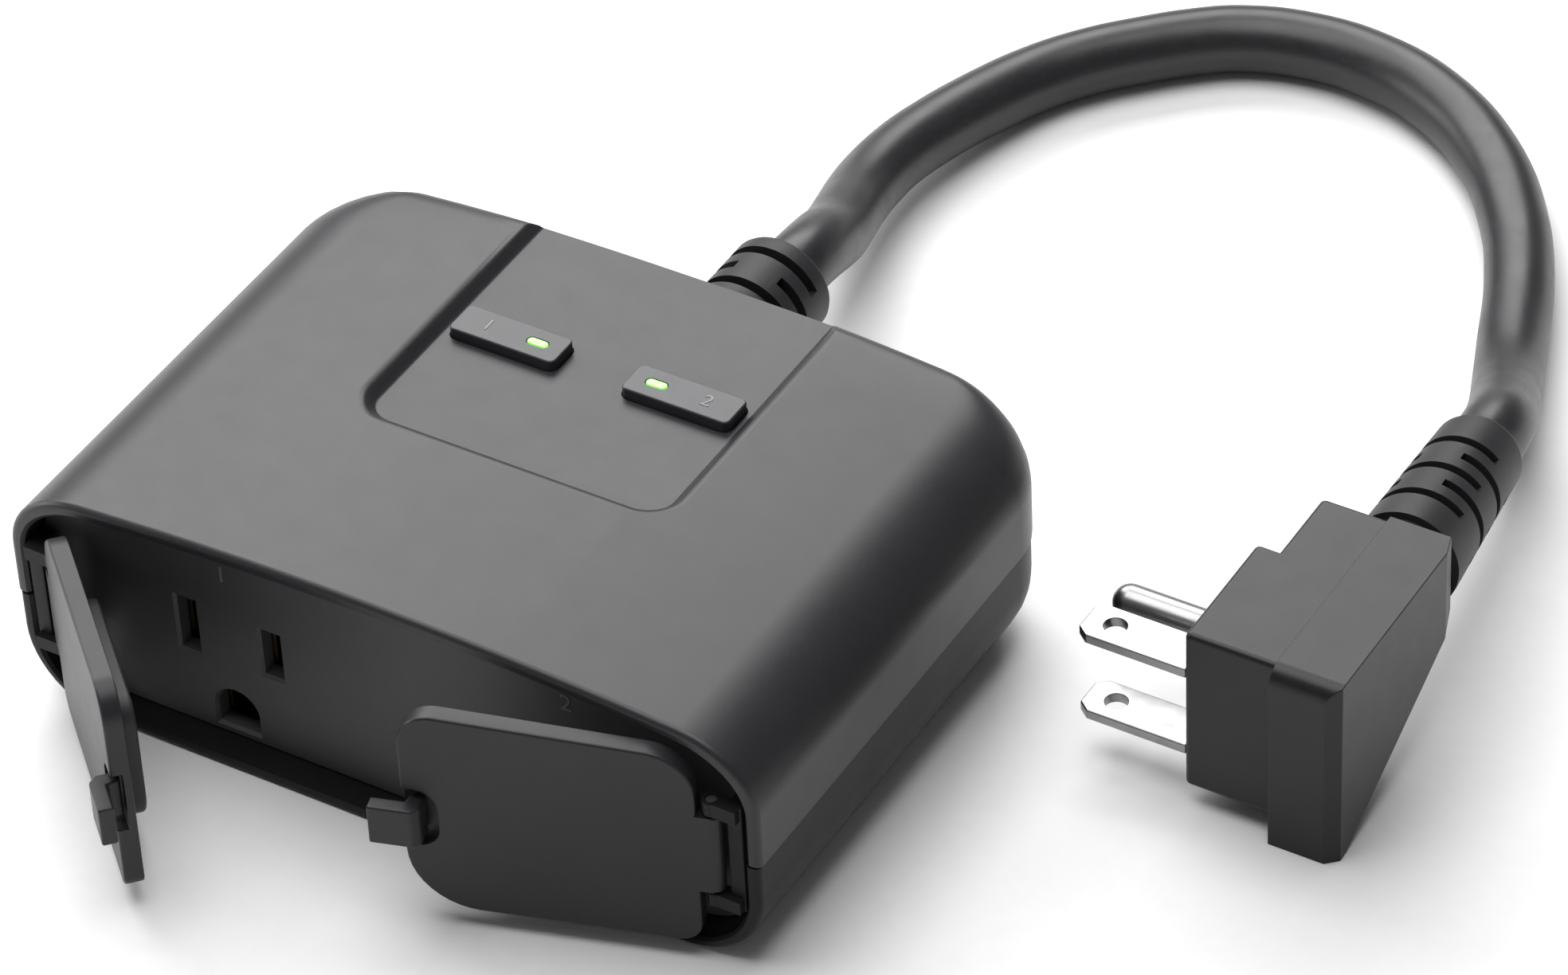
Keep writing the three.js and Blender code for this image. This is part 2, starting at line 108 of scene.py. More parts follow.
class Finish:
    def __init__(self, name, roughness, **fixed):
        self.material = bpy.data.materials.new(name)
        self.material.use_nodes = True
        self.tree = self.material.node_tree
        self.shader = self.tree.nodes["Principled BSDF"]
        self.shader.inputs["Roughness"].default_value = roughness
        for socket, value in fixed.items():
            self.shader.inputs[socket.replace("_", " ")].default_value = value
        self.place = self.node("ShaderNodeTexCoord", {}, {}, "Object")

    def node(self, kind, settings, inputs, output=0):
        made = self.tree.nodes.new(kind)
        for key, value in settings.items():
            setattr(made, key, value)
        for key, value in inputs.items():
            self.feed(made.inputs[key], value)
        return Value(self, made.outputs[output])

    def feed(self, socket, value):
        if isinstance(value, Value):
            self.tree.links.new(value.socket, socket)
        else:
            socket.default_value = value

    def set(self, socket, value):
        self.feed(self.shader.inputs[socket], value)

    def noise(self, size_mm, detail=2.0, place=None):
        return self.node("ShaderNodeTexNoise", {}, {
            "Vector": place or self.place, "Scale": 1 / (size_mm * MM),
            "Detail": detail, "Roughness": OCTAVE_GAIN})

    def mix(self, mask, a, b):
        return self.node("ShaderNodeMix", {"data_type": "RGBA"}, {0: mask, 6: a, 7: b}, 2)

    def ramp(self, value, low, high):
        return self.node("ShaderNodeMapRange", {"clamp": True},
                         {0: value, 1: low, 2: high, 3: 0.0, 4: 1.0})

    def bump(self, height, depth_mm, strength=1.0):
        self.set("Normal", self.node("ShaderNodeBump", {}, {
            "Strength": strength, "Distance": depth_mm * MM, "Height": height}))

# %% [markdown]
# ## Moulded plastic, rubber and metal
#
# Satin moulded plastic is not one flat grey. The mould's spark-eroded grain breaks up its
# gloss, handling leaves faintly smoother patches, and dust lightens it a little. Three noises
# of different size do that: the finest feeds the bump, a middle one the roughness, and a broad
# one the colour. Rubber has the same recipe with a rougher surface, and plated metal swaps the
# grain for long drawn lines.

# %% Moulded finishes
def moulded(name, color, lighter, roughness, grain_mm, depth_mm, spread=0.07, **fixed):
    finish = Finish(name, roughness, **fixed)
    broad = finish.ramp(finish.noise(14, 3), 0.35, 0.7)
    speckle = finish.ramp(finish.noise(grain_mm * 1.7, 1), 0.35, 0.75)
    tone = broad * 0.55 + speckle * 0.45
    finish.set("Base Color", finish.mix(tone, (*color, 1), (*lighter, 1)))
    gloss = finish.noise(4.5, 4) * spread + speckle * (spread * 0.5)
    finish.set("Roughness", gloss + (roughness - spread * 0.7))
    finish.bump(finish.noise(grain_mm, 2), depth_mm, 0.6)
    return finish.material


def plated(name, color, roughness, drawn=(1.0, 40.0, 40.0)):
    finish = Finish(name, roughness, Metallic=1.0)
    lines = finish.node("ShaderNodeMapping", {}, {"Vector": finish.place, "Scale": drawn})
    scratch = finish.noise(6, 3, lines)
    stain = finish.ramp(finish.noise(3.0, 3), 0.4, 0.75)
    darker = tuple(0.8 * c for c in color)
    finish.set("Base Color", finish.mix(stain * 0.5, (*color, 1), (*darker, 1)))
    finish.set("Roughness", scratch * 0.14 + stain * 0.05 + (roughness - 0.08))
    finish.bump(scratch, 0.01, 0.35)
    return finish.material


SHELL = moulded("satin_shell", (0.019, 0.0185, 0.021), (0.025, 0.0245, 0.027), 0.38, 0.22, 0.012,
                Specular_IOR_Level=0.38)
# painted shade: the lower shell is the same plastic as the upper one, coloured darker so the
# case's sides look shaded
SHELL_LOW_SHADED = moulded("satin_shell_lower_painted_shade", (0.012, 0.0115, 0.013), (0.016, 0.0155, 0.017), 0.42,
                    0.22, 0.012, Specular_IOR_Level=0.15)
COVER = moulded("satin_cover", (0.016, 0.016, 0.018), (0.021, 0.021, 0.024), 0.42, 0.2, 0.012,
                Specular_IOR_Level=0.32)
PLATE = moulded("outlet_plate_plastic", (0.055, 0.054, 0.058), (0.066, 0.065, 0.070), 0.5, 0.25,
                0.015)
BUTTON = moulded("button_plastic", (0.030, 0.030, 0.034), (0.038, 0.038, 0.043), 0.38, 0.18, 0.008)
RUBBER = moulded("black_rubber", (0.016, 0.016, 0.018), (0.024, 0.024, 0.027), 0.62, 0.35, 0.02)
BOOT = moulded("strain_relief_rubber", (0.014, 0.014, 0.016), (0.021, 0.021, 0.023), 0.5, 0.3,
               0.02, Specular_IOR_Level=0.35)
PLUG = moulded("plug_vinyl", (0.009, 0.009, 0.010), (0.013, 0.013, 0.0145), 0.38, 0.25, 0.014,
               Specular_IOR_Level=0.32)
INK = moulded("printed_marks", (0.16, 0.16, 0.165), (0.21, 0.21, 0.215), 0.45, 0.3, 0.004)
NICKEL = plated("nickel_plate", (0.28, 0.28, 0.278), 0.30)
print("finishes made:", len(bpy.data.materials))

# %% Lit lens
lens_finish = Finish("lit_green_lens", 0.22, Coat_Weight=0.4, Emission_Strength=1.1)
lens_glow = lens_finish.ramp(lens_finish.noise(1.2, 2), 0.3, 0.7)
lens_finish.set("Base Color",
                lens_finish.mix(lens_glow, (0.10, 0.52, 0.06, 1), (0.28, 0.80, 0.16, 1)))
lens_finish.set("Emission Color",
                lens_finish.mix(lens_glow, (0.10, 0.55, 0.05, 1), (0.30, 0.90, 0.12, 1)))
LENS = lens_finish.material

# %% [markdown]
# ## Working with bmesh
#
# Every new piece starts as a cube, a circle or a short chain of points and is shaped by
# operators. Edges sharper than a limit stay crisp; all others are shaded smooth.

# %% Modelling helpers
CREASE = math.radians(38)


def block(x, y, z):
    bm = bmesh.new()
    middle = Vector([(low + high) / 2 for low, high in (x, y, z)])
    size = [high - low for low, high in (x, y, z)]
    bmesh.ops.create_cube(bm, size=1.0,
                          matrix=Matrix.Translation(middle) @ Matrix.Diagonal((*size, 1)))
    return bm


def round_edges(bm, wanted, radius, segments=3):
    edges = [e for e in bm.edges if wanted(e)]
    bmesh.ops.bevel(bm, geom=edges, offset=radius, offset_type="OFFSET", segments=segments,
                    profile=0.5,
                    affect="EDGES", clamp_overlap=True, material=-1)


def along(axis, *near):
    """Edges parallel to an axis whose other two coordinates match one of the given pairs."""
    others = [k for k in range(3) if k != axis]

    def test(edge):
        a, b = (v.co for v in edge.verts)
        flat = all(abs(a[k] - b[k]) < 1e-4 for k in others)
        return flat and (not near or any(
            all(abs(a[k] - p) < 1e-3 for k, p in zip(others, pair)) for pair in near))
    return test


def sharp(limit=30):
    return lambda edge: len(edge.link_faces) == 2 and edge.calc_face_angle(0) > math.radians(limit)


def to_object(name, bm):
    mesh = bpy.data.meshes.new(name)
    bm.to_mesh(mesh)
    thing = bpy.data.objects.new(name, mesh)
    bpy.context.scene.collection.objects.link(thing)
    return thing


def combine(bm, tool, operation="DIFFERENCE"):
    """One solid cut by, or joined to, another."""
    body, cutter = to_object("body", bm), to_object("cutter", tool)
    step = body.modifiers.new("combine", "BOOLEAN")
    step.operation, step.object, step.solver = operation, cutter, "EXACT"
    result = bmesh.new()
    result.from_mesh(body.evaluated_get(bpy.context.evaluated_depsgraph_get()).data)
    bmesh.ops.remove_doubles(result, verts=result.verts, dist=1e-4)
    for thing in (body, cutter):
        bpy.data.meshes.remove(thing.data)
    bm.free()
    tool.free()
    return result


def prism(points, axis, low, high):
    """A closed outline in the plane across an axis, extruded from low to high along it."""
    bm = bmesh.new()
    others = [k for k in range(3) if k != axis]
    ring = []
    for u, v in points:
        place = [0.0, 0.0, 0.0]
        place[axis], place[others[0]], place[others[1]] = low, u, v
        ring.append(bm.verts.new(place))
    face = bm.faces.new(ring)
    grown = bmesh.ops.extrude_face_region(bm, geom=[face])["geom"]
    step = [0.0, 0.0, 0.0]
    step[axis] = high - low
    bmesh.ops.translate(bm, vec=step,
                        verts=[g for g in grown if isinstance(g, bmesh.types.BMVert)])
    bmesh.ops.recalc_face_normals(bm, faces=bm.faces)
    return bm


def revolve(profile, place=Matrix(), steps=48):
    """A closed solid spun from (radius, height) points about the Z axis, then placed."""
    bm = bmesh.new()
    chain = [bm.verts.new((r, 0.0, h)) for r, h in profile]
    edges = [bm.edges.new(pair) for pair in zip(chain, chain[1:])]
    bmesh.ops.spin(bm, geom=chain + edges, cent=(0, 0, 0), axis=(0, 0, 1), angle=2 * math.pi,
                   steps=steps, use_merge=True, dvec=(0, 0, 0))
    bmesh.ops.remove_doubles(bm, verts=bm.verts, dist=1e-4)
    bmesh.ops.recalc_face_normals(bm, faces=bm.faces)
    bmesh.ops.transform(bm, matrix=place, verts=bm.verts)
    return bm


def piece(name, bm, material, body, stands_for=(), crease=CREASE, place=None):
    """Turns a mesh drawn in millimetres into a finished piece riding on a body."""
    if place is not None:
        bmesh.ops.transform(bm, matrix=place, verts=bm.verts)
        if place.determinant() < 0:
            bmesh.ops.reverse_faces(bm, faces=bm.faces)
    bmesh.ops.scale(bm, vec=(MM, MM, MM), verts=bm.verts)
    for face in bm.faces:
        face.smooth = True
    for edge in bm.edges:
        edge.smooth = len(edge.link_faces) == 2 and edge.calc_face_angle(0) < crease
    thing = to_object(name, bm)
    bm.free()
    thing.data.materials.append(material)
    flat = thing.modifiers.new("even_normals", "WEIGHTED_NORMAL")
    flat.keep_sharp = True
    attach(thing, body)
    if stands_for:
        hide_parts(*stands_for)
    print(f"{name}: {len(thing.data.polygons)} faces")
    return thing

# %% [markdown]
# ## Power cord
#
# A cord is a tube of constant thickness with its own stiffness, so it is one smooth curve
# through listed points: straight out of the gland, down to the table in a soft S, round
# one open loop, and up again into the plug's boot. A curve with a round bevel keeps its real
# diameter everywhere. It is then made a mesh, because a curve's own box is padded by a metre.

# %% Power cord
CORD_DIAMETER = 9.6
CORD_ROUTE = [
    (0, 61.5, 18), (-0.1, 65.5, 17.8), (-0.8, 71, 16.3), (-2.4, 78, 13.2),
    (-4.05, 83.51, 11.4), (-5.92, 89.52, 9.5), (-7.23, 96.22, 8), (-7.51, 103.81, 7),
    (-6.52, 111.61, 6.2), (-4.02, 121.4, 5.4), (-0.5, 130.6, 4.8), (4.2, 137.6, 4.8),
    (9.4, 143.2, 4.8), (14.8, 148.2, 4.8), (20.6, 152.2, 4.8), (30.5, 155.3, 4.8),
    (40.5, 155.3, 4.8), (51.7, 152, 4.8), (63.8, 143.6, 4.8), (73, 132.6, 4.8),
    (79.75, 120.4, 5.2), (85.02, 107.51, 6.1), (88.48, 99.11, 7.6), (91.48, 92.02, 10.2),
    (94.24, 85.13, 13.5), (96.16, 79.23, 16.3), (96.76, 73.58, 17.23),
]
cord_curve = bpy.data.curves.new("cord_route", "CURVE")
cord_curve.dimensions = "3D"
cord_curve.bevel_depth, cord_curve.bevel_resolution = CORD_DIAMETER / 2 * MM, 10
cord_curve.resolution_u, cord_curve.use_fill_caps = 6, True
spline = cord_curve.splines.new("BEZIER")
spline.bezier_points.add(len(CORD_ROUTE) - 1)
for knot, point in zip(spline.bezier_points, CORD_ROUTE):
    knot.co = Vector(point) * MM
    knot.handle_left_type = knot.handle_right_type = "AUTO"
route_object = bpy.data.objects.new("cord_route", cord_curve)
bpy.context.scene.collection.objects.link(route_object)
cord_mesh = bpy.data.meshes.new_from_object(
    route_object.evaluated_get(bpy.context.evaluated_depsgraph_get()))
bpy.data.curves.remove(cord_curve)
for face in cord_mesh.polygons:
    face.use_smooth = True
cord = bpy.data.objects.new("power_cord_skin", cord_mesh)
bpy.context.scene.collection.objects.link(cord)
cord_length = sum((Vector(b) - Vector(a)).length for a, b in zip(CORD_ROUTE, CORD_ROUTE[1:])) * MM
print("cord length along its points:", round(cord_length, 4), "faces:", len(cord_mesh.polygons))
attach(cord, "case")
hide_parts("power_cord")

# %% [markdown]
# The jacket is soft vinyl: darker and glossier than the shell, with faint dull streaks that
# run along it where it was drawn out of the die and coiled in its box.

# %% Cord jacket
jacket = Finish("cord_vinyl", 0.36)
streaks = jacket.noise(5.0, 4)
dust = jacket.ramp(jacket.noise(0.9, 2), 0.45, 0.8)
jacket.set("Base Color",
           jacket.mix(dust * 0.5 + streaks * 0.3, (0.013, 0.013, 0.015, 1),
                      (0.024, 0.0235, 0.026, 1)))
jacket.set("Roughness", streaks * 0.16 + dust * 0.05 + 0.30)
jacket.bump(jacket.noise(0.5, 2), 0.015, 0.5)
cord_mesh.materials.clear()
cord_mesh.materials.append(jacket.material)

# %% [markdown]
# ## Case shells
#
# The case is a shallow loaf: a gently crowned top that rolls over wide elliptical shoulders
# into the sides, and a flat base. It could be cut from a block, but a soft shape like this is
# cleaner as a loft. One outline is carried from the back of the cavity forward, round the lip,
# and back along the outside, so wall, lip and skin are one closed surface of even quads.

# %% Outline of the case
HALF, TOP, FRONT, REAR = 55.0, 37.4, -38.0, 38.0
WALL, FLOOR, PARTING, GAP = 2.0, 1.3, 17.4, 0.3
SHOULDER_X, SHOULDER_Z, CROWN, BILGE = 12.4, 10.2, 1.75, 11.7
ROLL_ANGLE = 84.3  # where the shoulder's slope equals the crown's


def arc(cu, cv, ru, rv, start, end, steps):
    turns = (math.radians(start + (end - start) * i / steps) for i in range(steps + 1))
    return [(cu + ru * math.cos(t), cv + rv * math.sin(t)) for t in turns]


def case_outline(wall, floor):
    half, top = HALF - wall, TOP - wall
    ax, az, rb = SHOULDER_X - 0.75 * wall, SHOULDER_Z - 0.75 * wall, BILGE - 0.75 * wall
    right = arc(half - ax, top - CROWN - az, ax, az, 0, ROLL_ANGLE, 14)
    edge_x, edge_z = right[-1]
    crown = [(x, top - (top - edge_z) * (x / edge_x) ** 2)
             for x in (edge_x * (1 - i / 7) for i in range(1, 14))]
    base = arc(half - rb, floor + rb, rb, rb, 270, 360, 12)
    left_side = [(-x, z) for x, z in reversed(right)]
    left_base = [(-x, z) for x, z in reversed(base)]
    return base + right + crown + left_side + left_base


def loft(rings):
    """A closed solid bridged through rings of equal length, with a flat face at both ends."""
    bm = bmesh.new()
    loops = []
    for ring in rings:
        verts = [bm.verts.new(p) for p in ring]
        loops.append([bm.edges.new(pair) for pair in zip(verts, verts[1:] + verts[:1])])
    for low, high in zip(loops, loops[1:]):
        bmesh.ops.bridge_loops(bm, edges=low + high)
    for loop in (loops[0], loops[-1]):
        bmesh.ops.contextual_create(bm, geom=loop)
    bmesh.ops.recalc_face_normals(bm, faces=bm.faces)
    return bm


print("outline points:", len(case_outline(0, 0)))

# %% [markdown]
# The rear corners are rounded twice: an 11 mm radius seen from above and a 3 mm radius seen
# from the side. Narrowing the outline a little at each station towards the rear gives both in
# one pass, with no corner patch to weave.

# %% One shell as a hollow cup
PLAN_RADIUS, EDGE_RADIUS = 11.0, 3.0


def station(y, wall, floor, narrow=0.0, drop=0.0):
    middle = (TOP - wall + floor) / 2
    x_scale = 1 - narrow / (HALF - wall)
    z_scale = 1 - drop / ((TOP - wall - floor) / 2)
    return [(x * x_scale, y, middle + (z - middle) * z_scale)
            for x, z in case_outline(wall, floor)]


def rear_stations(wall, floor, steps=9):
    radius, back_y, rings = PLAN_RADIUS - wall, REAR - wall, []
    for i in range(steps + 1):
        turn = math.radians(90 * i / steps)
        y = back_y - radius + radius * math.sin(turn)
        inside = max(0.0, y - (back_y - EDGE_RADIUS))
        drop = EDGE_RADIUS - math.sqrt(max(0.0, EDGE_RADIUS ** 2 - inside ** 2))
        rings.append(station(y, wall, floor, radius * (1 - math.cos(turn)), drop))
    return rings


LIP_LEAN = 0.01  # bridging needs a direction, so no two rings of the lip share a plane


def case_cup(slim=0.0, outer_lip=0.9, inner_lip=0.45):
    rings = list(reversed(rear_stations(WALL, FLOOR)))
    for i in range(5):
        turn = math.radians(90 * i / 4)
        inset = inner_lip * (1 - math.sin(turn))
        share = 1 - (inner_lip - inset) / WALL
        rings.append(station(FRONT + inner_lip * (1 - math.sin(turn)), WALL * share,
                             FLOOR * share))
    for i in range(5):
        turn = math.radians(90 * i / 4)
        share = outer_lip * (1 - math.sin(turn)) / WALL
        rings.append(station(FRONT + LIP_LEAN + outer_lip * (1 - math.cos(turn)), WALL * share,
                             FLOOR * share))
    rings += rear_stations(0, 0)
    bm = loft(rings)
    if slim:
        bmesh.ops.scale(bm, vec=(1 - slim / HALF, 1, 1), verts=bm.verts)
    return bm

# %% [markdown]
# ## Sunken control panel
#
# The panel is pressed about two millimetres into the top and has no crisp step: the wall
# leans outward and rolls over into the crown. The cutter carries that roll itself. Each of
# its rings follows the crown and grows a little outward, so no bevel is needed after the cut.

# %% Panel cutter
PANEL_HALF, PANEL_FRONT, PANEL_Z, PANEL_CORNER = 21.7, -4.9, 35.3, 3.4
PANEL_ROLL = [(0.0, 0.0), (0.18, 0.02), (0.45, 0.12), (0.9, 0.42), (1.35, 0.74), (1.75, 0.92),
              (2.3, 0.995), (3.0, 1.03)]


def panel_ring(grow, rise):
    a, front, r = PANEL_HALF + grow, PANEL_FRONT - grow, PANEL_CORNER + grow
    outline = (arc(-a + r, front + r, r, r, 180, 270, 10)
               + arc(a - r, front + r, r, r, 270, 360, 10))
    outline += [(a, 20.0), (a, REAR + 2), (0.0, REAR + 2), (-a, REAR + 2), (-a, 20.0)]
    crown = lambda x: TOP - CROWN * (x / (HALF - SHOULDER_X)) ** 2
    return [(x, y, PANEL_Z + (crown(x) - PANEL_Z) * rise) for x, y in outline]


def panel_cutter():
    rings = [panel_ring(grow, rise) for grow, rise in PANEL_ROLL]
    rings.append([(x, y, TOP + 4) for x, y, z in panel_ring(3.4, 1.0)])
    return loft(rings)

# %% Shells
BUTTON_X, BUTTON_Y, BUTTON_LONG, BUTTON_WIDE, BUTTON_TOP = 12.95, 15.6, 15.9, 5.4, 36.8
SCREWS = [(-44, -19), (44, -19), (-42, 24), (42, 24)]
ACROSS_BACK = Matrix.Translation((0, REAR - 6, 18)) @ Matrix.Rotation(math.radians(-90), 4, "X")


def gland_hole():
    return revolve([(0, 0), (6.0, 0), (6.0, 10), (0, 10)], ACROSS_BACK)


def rounded_outline(u0, v0, u1, v1, radii, steps=6):
    a, b, c, d = radii
    return (arc(u0 + a, v0 + a, a, a, 180, 270, steps) + arc(u1 - b, v0 + b, b, b, 270, 360, steps)
            + arc(u1 - c, v1 - c, c, c, 0, 90, steps) + arc(u0 + d, v1 - d, d, d, 90, 180, steps))


def on_plane(axis, value, reach=1e-3):
    return lambda edge: all(abs(v.co[axis] - value) < reach for v in edge.verts)


upper = combine(case_cup(), block((-60, 60), (-50, 50), (PARTING + GAP / 2, 50)), "INTERSECT")
round_edges(upper, on_plane(2, PARTING + GAP / 2), 0.22, 2)
upper = combine(upper, block((-26, 26), (-9, 36.5), (33.3, 36.0)), "UNION")
upper = combine(upper, panel_cutter())
for side in (-1, 1):
    half_u, half_v = BUTTON_LONG / 2 + GAP, BUTTON_WIDE / 2 + GAP
    hole = prism(rounded_outline(side * BUTTON_X - half_u, BUTTON_Y - half_v,
                                 side * BUTTON_X + half_u,
                                 BUTTON_Y + half_v, [1.5] * 4, 5), 2, 30, 40)
    upper = combine(upper, hole)
upper = combine(upper, gland_hole())
piece("upper_case", upper, SHELL, "case", ["upper_shell"], math.radians(30))

# %% [markdown]
# The lower shell is a quarter of a millimetre slimmer, which is how real half shells are
# matched: the upper one overhangs slightly, so the joint reads as one even shadow line. Four
# counterbores in its base take the case screws.

# %% Lower shell
lower = combine(case_cup(slim=0.25), block((-60, 60), (-50, 50), (-5, PARTING - GAP / 2)),
                "INTERSECT")
round_edges(lower, on_plane(2, PARTING - GAP / 2), 0.22, 2)
for x, y in SCREWS:
    post = revolve([(0, 0.6), (3.6, 0.6), (3.6, 6.0), (0, 6.0)], Matrix.Translation((x, y, 0)), 32)
    lower = combine(lower, post, "UNION")
    well = revolve([(0, -1), (2.7, -1), (2.7, 0), (2.4, 0.3), (2.4, 3.6), (1.3, 3.6), (1.3, 7),
                    (0, 7)],
                   Matrix.Translation((x, y, 0)), 32)
    lower = combine(lower, well)
lower = combine(lower, gland_hole())
# painted shade: the lower shell takes the darker copy of the shell plastic
piece("lower_case", lower, SHELL_LOW_SHADED, "case", ["lower_shell"], math.radians(30))

# %% [markdown]
# ## Outlet plate
#
# The plate is pushed in from the front and carries both outlets. Each has two upright slots,
# the neutral one taller, and a round-topped hole for the ground pin. On a moulded plate every
# opening has a small lead-in that guides a blade and catches light, so each cutter is two
# lofts in one: straight through, then flaring at the front.

# %% Outlet plate
FACE_Y, PLATE_THICK, OUTLET_X, SLOT_Z, GROUND_Z = -33.6, 2.4, 25.4, 17.7, 5.8
LEAD_IN = 0.45


def opening(outline):
    """Cutter through the plate that flares by the lead-in at the front face."""
    middle_x = sum(p[0] for p in outline) / len(outline)
    middle_z = (min(p[1] for p in outline) + max(p[1] for p in outline)) / 2
    wide = max(abs(p[0] - middle_x) for p in outline)
    tall = max(abs(p[1] - middle_z) for p in outline)

    def ring(y, grow):
        return [(middle_x + (x - middle_x) * (1 + grow / wide), y,
                 middle_z + (z - middle_z) * (1 + grow / tall))
                for x, z in outline]
    return loft([ring(FACE_Y + 4, 0), ring(FACE_Y + LEAD_IN, 0), ring(FACE_Y, LEAD_IN * 0.8),
                 ring(FACE_Y - 1, LEAD_IN * 0.8)])


def upright(x, width, height):
    return [(x - width / 2, SLOT_Z - height / 2), (x + width / 2, SLOT_Z - height / 2),
            (x + width / 2, SLOT_Z + height / 2), (x - width / 2, SLOT_Z + height / 2)]


plate = prism(case_outline(WALL + GAP, FLOOR + GAP), 1, FACE_Y, FACE_Y + PLATE_THICK)
for x in (-OUTLET_X, OUTLET_X):
    arch = ([(x - 3.1, GROUND_Z - 3.1), (x + 3.1, GROUND_Z - 3.1)]
            + arc(x, GROUND_Z, 3.1, 3.1, 0, 180, 16))
    for outline in (upright(x - 6.35, 2.9, 8.8), upright(x + 6.35, 2.9, 7.5), arch):
        plate = combine(plate, opening(outline))
piece("outlet_plate_face", plate, PLATE, "case", ["outlet_plate"], math.radians(25))

# %% [markdown]
# ## Numerals
#
# A single numeral over each outlet and on each button tells the two circuits apart. They are
# thin printed marks, so each is a text curve with almost no thickness, turned into a mesh and
# laid a few hundredths of a millimetre above its surface.

# %% Numerals
def numeral(name, text, size_mm, place, body, thick=0.05):
    curve = bpy.data.curves.new(name + "_curve", "FONT")
    curve.body, curve.size, curve.extrude = text, size_mm, thick / 2
    curve.align_x, curve.align_y = "CENTER", "CENTER"
    holder = bpy.data.objects.new(name + "_curve", curve)
    bpy.context.scene.collection.objects.link(holder)
    bm = bmesh.new()
    bm.from_mesh(holder.evaluated_get(bpy.context.evaluated_depsgraph_get()).to_mesh())
    bpy.data.objects.remove(holder)
    bmesh.ops.remove_doubles(bm, verts=bm.verts, dist=1e-4)
    return piece(name, bm, INK, body, place=place)


UPRIGHT = Matrix.Rotation(math.radians(90), 4, "X")
for i, x in ((1, -OUTLET_X), (2, OUTLET_X)):
    numeral(f"outlet_numeral_{i}", str(i), 3.6,
            Matrix.Translation((x, FACE_Y - 0.04, 28.6)) @ UPRIGHT, "case")

# %% [markdown]
# ## Push buttons
#
# Each cap is a low bar with a chamfered rim that stands just clear of the panel, with a wider
# flange underneath to keep it from falling out. A pill-shaped pocket holds the status lens.

# %% Buttons and lenses
for i, side in ((1, -1), (2, 1)):
    x, half_u, half_v = side * BUTTON_X, BUTTON_LONG / 2, BUTTON_WIDE / 2
    cap = prism(rounded_outline(x - half_u, BUTTON_Y - half_v, x + half_u, BUTTON_Y + half_v,
                                [0.9] * 4, 5), 2, 32.4, BUTTON_TOP)
    round_edges(cap, on_plane(2, BUTTON_TOP), 0.32, 3)
    flange = block((x - half_u - 1.2, x + half_u + 1.2),
                   (BUTTON_Y - half_v - 1.2, BUTTON_Y + half_v + 1.2), (31.9, 32.9))
    cap = combine(cap, flange, "UNION")
    lens_x = x - side * (half_u - 3.9)

    def pill(grow):
        return rounded_outline(lens_x - 1.5 - grow, BUTTON_Y - 0.65 - grow, lens_x + 1.5 + grow,
                               BUTTON_Y + 0.65 + grow,
                               [0.64 + grow] * 4, 6)
    cap = combine(cap, prism(pill(0.15), 2, BUTTON_TOP - 1.2, 40))
    piece(f"button_cap_{i}", cap, BUTTON, f"button_{i}", [f"button_{i}"],
          math.radians(28))
    lens = prism(pill(0.0), 2, BUTTON_TOP - 1.05, BUTTON_TOP + 0.05)
    round_edges(lens, on_plane(2, BUTTON_TOP + 0.05), 0.25, 3)
    piece(f"status_lens_{i}", lens, LENS, f"button_{i}", [f"led_lens_{i}"])
    numeral(f"button_numeral_{i}", str(i), 3.0,
            Matrix.Translation((x + side * 3.4, BUTTON_Y, BUTTON_TOP + 0.03)),
            f"button_{i}")

# %% [markdown]
# ## Weather covers
#
# Each cover is a flat moulded leaf with its own corner radii, a scooped finger hold at the
# free edge, a knuckle that wraps the hinge pin, a rubber pad inside that seals the outlet, and
# a hooked tab that latches it. It is drawn once, closed and flat with its hinge at zero, and
# one matrix per side swings it to its open angle. Only the radius of its lower free corner
# differs between the two sides. Its top edge climbs so that it follows the crown when closed.

# %% Cover placing
HINGE_X, HINGE_Y, LEAF = 48.4, -37.7, 1.3
LEFT_OPEN, RIGHT_OPEN = 43.4, 16.9  # degrees from closed
LEAF_START, LEAF_LOW, LEAF_HIGH = 1.8, 3.0, 33.2
SCOOP_Z, TAB_Z, PAD_THICK = (13.0, 22.2), (14.6, 20.6), 2.0
PIN_BORE = 0.76
REACH, CLIMB = 39.0, 1.3  # hinge to free edge, and how far the top edge rises on the way
LOWER_CORNER = {"left": 2, "right": 9}
KNUCKLE = (11.7, 24.0)
LEFT_SIDE = Matrix.Translation((-HINGE_X, HINGE_Y, 0))
RIGHT_SIDE = Matrix.Translation((HINGE_X, HINGE_Y, 0)) @ Matrix.Diagonal((-1, 1, 1, 1))
COVER_PLACES = {
    "left": LEFT_SIDE @ Matrix.Rotation(math.radians(-LEFT_OPEN), 4, "Z"),
    "right": RIGHT_SIDE @ Matrix.Rotation(math.radians(-RIGHT_OPEN), 4, "Z"),
}


def bore():
    return revolve([(0, 0), (PIN_BORE, 0), (PIN_BORE, 40), (0, 40)], steps=24)


